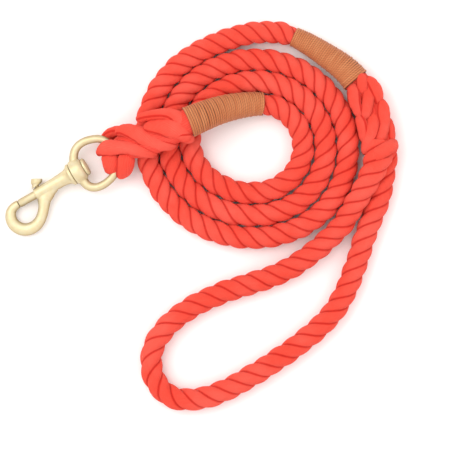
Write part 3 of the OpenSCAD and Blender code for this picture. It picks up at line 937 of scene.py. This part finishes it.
def snap_casting():
    """The hook, the barrel and the collar."""
    barrel = turned([(MOUTH_X, 3.3), (MOUTH_X + 0.1, 3.8), (MOUTH_X + 0.5, 4.05),
                     (MOUTH_X + 10, 4.25), (COLLAR_X - 9, 4.45), (COLLAR_X - 6, 4.75),
                     (COLLAR_X - 4, 5.25), (COLLAR_X - 2.7, 6.1), (COLLAR_X - 2.1, 7.2),
                     (COLLAR_X - 1.8, 7.4), (COLLAR_X - 0.3, 7.4), (COLLAR_X, 7.2)])
    return cast(shell("snap_casting", barrel, swept(HOOK)), 14, [
        drill("bore", TIP_X + 6, COLLAR_X - 6, BORE_R),
        drill("mouth", TIP_X, MOUTH_X, BORE_R + 0.9),
        drill("rivet_hole", COLLAR_X - 7, COLLAR_X + 1, RIVET_HOLE_R),
        slot_cutter()])


def ring_casting():
    """The swivel eye: a bored boss and the ring of round wire that grows from its two sides."""
    boss = turned([(BOSS_REAR_X, 7.2), (BOSS_REAR_X + 0.3, 7.9), (BOSS_REAR_X + 0.8, 8.1),
                   (BOSS_X - 3.0, 8.0), (BOSS_X - 1.6, 7.6), (BOSS_X - 0.5, 6.6), (BOSS_X, 5.9)])
    wire = swept([(x, y, 2 * r, 2 * r) for x, y, r in RING], power=1.0)
    return cast(shell("swivel_ring_eye", boss, wire), 12, [
        drill("rivet_bore", BOSS_REAR_X - 1, BOSS_X + 1, BOSS_BORE_R)])


def rivet_pin():
    """The rivet: a shank through the ring's boss and a wide thin head inside the ring."""
    return crisp(shell("swivel_rivet_pin", turned([
        (RIVET_END_X, 2.3), (RIVET_END_X + 0.2, RIVET_R), (RIVET_HEAD_X - 2.2, RIVET_R),
        (RIVET_HEAD_X - 2.18, 5.7), (RIVET_HEAD_X - 2.0, 6.0), (RIVET_HEAD_X - 0.9, 6.0),
        (RIVET_HEAD_X - 0.35, 5.6), (RIVET_HEAD_X - 0.05, 4.6), (RIVET_HEAD_X, 3.4)])), 34)


def sliding_bolt():
    """The round bolt, with its tip's edge rounded and its rear edge broken."""
    return crisp(shell("sliding_bolt", turned([
        (TIP_X + 0.3, 1.9), (TIP_X + 0.45, 2.4), (TIP_X + 0.9, BOLT_R),
        (BOLT_REAR_X - 0.3, BOLT_R), (BOLT_REAR_X, 2.4)])), 34)


def thumb_stud():
    """A stout stud with a flared cap that leans back towards the ring. The underside of its cap
    slants, and its foot is cut flat to slide just clear of the barrel. Its straight neck stands on
    the bolt and runs in the slot."""
    grid = turned([(2.6, 2.8), (2.9, 3.0), (6.5, 3.0), (6.9, 3.1), (7.3, 3.45), (7.6, 3.68),
                   (8.0, 3.74), (9.8, 3.74), (10.1, 3.5), (10.2, 3.0)], 64)
    h, u, v = grid[..., 0], grid[..., 1], grid[..., 2]
    h = h - np.where((h > 5) & (h < 9), 0.26, 0.0) * u
    lean_x, lean_y = math.sin(STUD_LEAN), math.cos(STUD_LEAN)
    x, y = STUD_X + h * lean_x - u * lean_y, h * lean_y + u * lean_x
    stud = np.stack([x, np.maximum(y, FOOT_Y), -v], axis=-1)[:, ::-1]
    neck = turned([(0.0, NECK_R), (5.4, NECK_R)], 32)
    neck = np.stack([KNOB_X - neck[..., 1], neck[..., 0], -neck[..., 2]], axis=-1)[:, ::-1]
    return crisp(shell("thumb_stud", stud, neck), 34)


def spring_wire():
    """The bolt's spring: a thin round wire in a helix, whose pitch varies by a sine of the share k
    of its length."""
    k = np.linspace(0, 1, SPRING_TURNS * 40 + 1)
    front, rear = SPRING_FRONT_X + SPRING_WIRE, SPRING_REAR_X - SPRING_WIRE
    along = front + (rear - front) * (k + 0.022 * np.sin(4 * np.pi * k))
    angle = 2 * np.pi * SPRING_TURNS * k
    path = np.stack([along, SPRING_R * np.cos(angle), SPRING_R * np.sin(angle)], axis=-1)
    a = around(12)
    wire = carried(path, SPRING_WIRE * np.cos(a), SPRING_WIRE * np.sin(a))
    return crisp(shell("bolt_coil_spring", wire), 60)


# ---------------------------------------------------------------- the making

cotton = cotton_paint("dyed_cotton_rope", 66)
strand_cotton = cotton_paint("dyed_cotton_strand", 38)
twine = twine_paint()
gold = gold_paint()
steel = steel_paint()

make_camera()
make_studio()

rope_path = spline(ROPE_ROUTE, STEP)
rope_length = float(distance_along(rope_path)[-1])
snap_whip_length = distance_along(spline(SNAP_WHIP, STEP))[-1]
handle_whip_length = distance_along(spline(HANDLE_WHIP, STEP))[-1]
snap_whip_at = rope_path[:int(round(snap_whip_length / STEP))]
handle_whip_at = rope_path[-int(round(handle_whip_length / STEP)):]
rope_radius = whipped_radius(rope_path, [
    (0.0, snap_whip_length, SNAP_BOUND_R),
    (rope_length - handle_whip_length, rope_length, HANDLE_BOUND_R),
])
rope = piece("leash_rope", [laid_rope(rope_path, LEASH_GROOVES, rope_radius)], "rope", cotton,
             ["coiled_rope"])

loop_path = spline(HANDLE_LOOP, STEP)
loop_at = distance_along(loop_path)
loop_radius = np.interp(loop_at, LEG_AT, LEG_R)
loop_flat = np.interp(loop_at, LEG_AT, LEG_FLAT)
loop = piece("handle_loop_rope", [laid_rope(loop_path, LOOP_GROOVES, loop_radius, loop_flat)],
             "rope", cotton, ["handle_rope"])

snap_middle = spline(SNAP_SPLICE, STEP)
snap_strands = SNAP_TURNS + underside(SNAP_TURNS[SNAP_FIRST_UNDER:], snap_middle)
snap_splice = piece(
    "snap_splice",
    [tucked_strand(points, snap_middle) for points in snap_strands]
    + [splice_core(snap_middle, SNAP_CORE, SNAP_CORE_FLAT)],
    "rope", strand_cotton,
    ["eye_rope", "snap_splice_strand_1", "snap_splice_strand_2", "snap_splice_strand_3"])

handle_middle = spline(HANDLE_SPLICE, STEP)
handle_strands = HANDLE_TURNS + underside(HANDLE_TURNS, handle_middle)
handle_splice = piece(
    "handle_splice",
    [tucked_strand(points, handle_middle) for points in handle_strands]
    + [splice_core(handle_middle, HANDLE_CORE, HANDLE_CORE_FLAT)],
    "rope", strand_cotton,
    ["handle_splice_strand_1", "handle_splice_strand_2", "handle_splice_strand_3"])

snap_binding = piece("snap_whipping_twine", whipping(snap_whip_at, *SNAP_WHIP_R), "rope", twine,
                     ["snap_whipping"])
handle_binding = piece("handle_whipping_twine", whipping(handle_whip_at, *HANDLE_WHIP_R), "rope",
                       twine, ["handle_whipping"])

seated(snap_casting(), "snap", gold, ["snap_body"])
seated(ring_casting(), "swivel_eye", gold, ["swivel_eye"])
seated(rivet_pin(), "snap", gold, ["swivel_rivet"])
seated(sliding_bolt(), "bolt", gold, ["snap_bolt"])
seated(thumb_stud(), "bolt", gold, ["thumb_knob"])
spring = seated(spring_wire(), "snap", steel, ["bolt_spring"])
spring_seat = placed(np.array([SPRING_REAR_X, 0.0, 0.0]))
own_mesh(spring)
